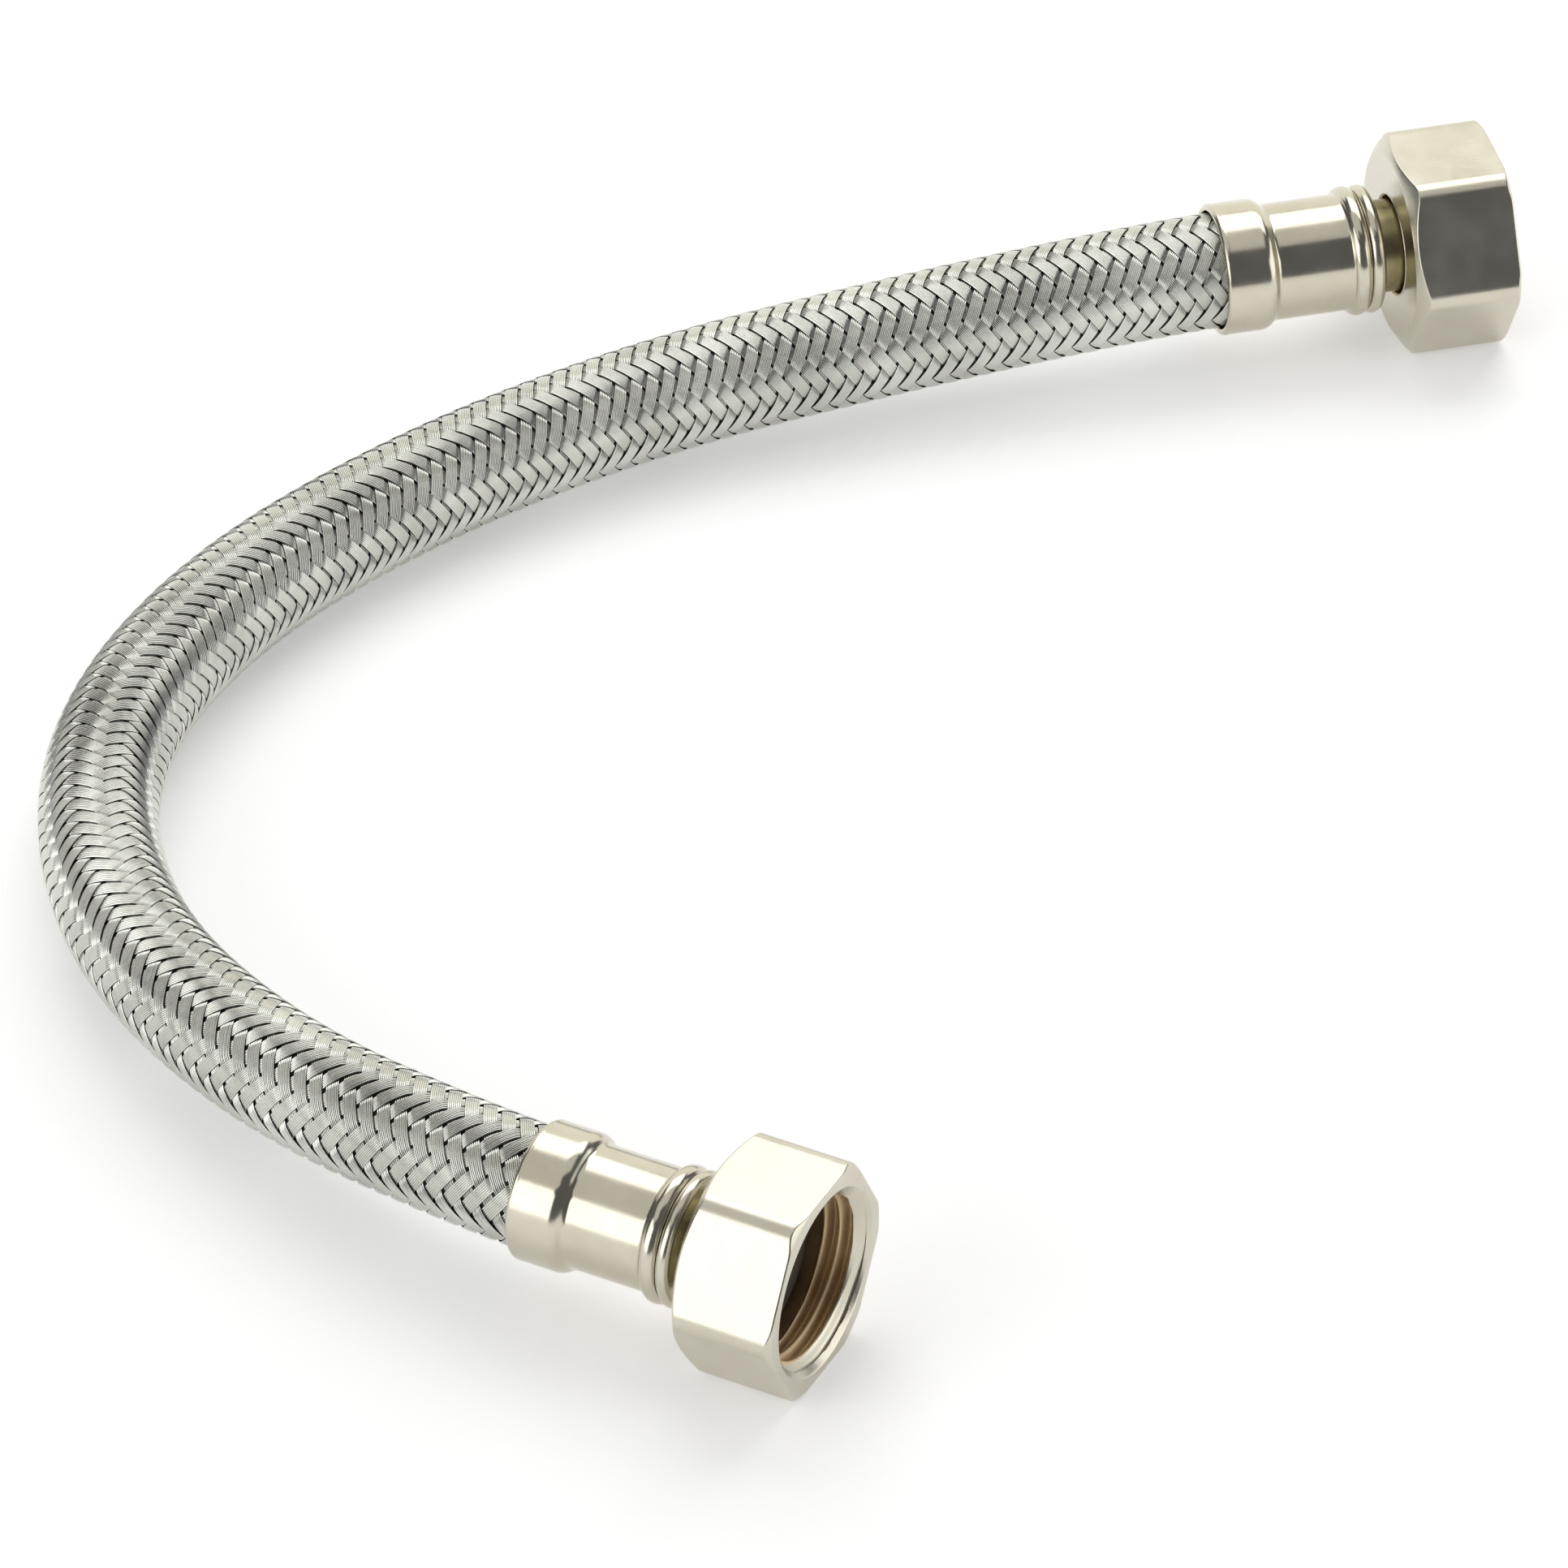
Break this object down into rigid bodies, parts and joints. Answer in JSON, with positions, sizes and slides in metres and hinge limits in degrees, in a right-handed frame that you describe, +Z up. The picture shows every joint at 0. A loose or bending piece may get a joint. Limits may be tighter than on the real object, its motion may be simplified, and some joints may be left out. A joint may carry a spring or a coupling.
{
  "type": "braided supply line",
  "caption": "Short flexible water supply line: rubber hose in a stainless wire braid, bent in a C, with a crimped ferrule and a swivelling hexagon union nut on each end.",
  "frame": {"origin": "middle of the bounding box, on the surface that the line rests on", "axes": "+Z up from that surface; +Y from the inlet end towards the outlet end; +X from the bend towards the open side of the C"},
  "size_m": [0.173, 0.2232, 0.024],
  "materials": {
    "braid": "woven stainless wire",
    "liner": "matt black",
    "ferrule": "polished, warm tint",
    "collar": "nickel plated",
    "insert": "thinly nickel plated, brassy",
    "washer": "matt",
    "nut": "nickel plated, polished"
  },
  "bodies": {
    "hose": {"braid_sleeve": "braid", "inner_liner": "liner", "inlet_ferrule": "ferrule", "inlet_collar": "collar", "inlet_insert": "insert", "outlet_ferrule": "ferrule", "outlet_collar": "collar", "outlet_insert": "insert"},
    "inlet_seal": {"inlet_washer": "washer"},
    "inlet_union": {"inlet_nut": "nut"},
    "outlet_seal": {"outlet_washer": "washer"},
    "outlet_union": {"outlet_nut": "nut"}
  },
  "joints": [
    {"name": "inlet_nut_turn", "type": "hinge", "parent": "hose", "child": "inlet_seal", "pos_m": [-0.00425, -0.09629, 0.012], "axis": [0.8886, -0.4586, 0], "continuous": true},
    {"name": "inlet_nut_float", "type": "slide", "parent": "inlet_seal", "child": "inlet_union", "axis": [-0.8886, 0.4586, 0], "range_m": [0, 0.0018]},
    {"name": "outlet_nut_turn", "type": "hinge", "parent": "hose", "child": "outlet_seal", "pos_m": [0.07576, 0.09679, 0.012], "axis": [0.9703, 0.2419, 0], "continuous": true},
    {"name": "outlet_nut_float", "type": "slide", "parent": "outlet_seal", "child": "outlet_union", "axis": [-0.9703, -0.2419, 0], "range_m": [0, 0.0018]}
  ]
}
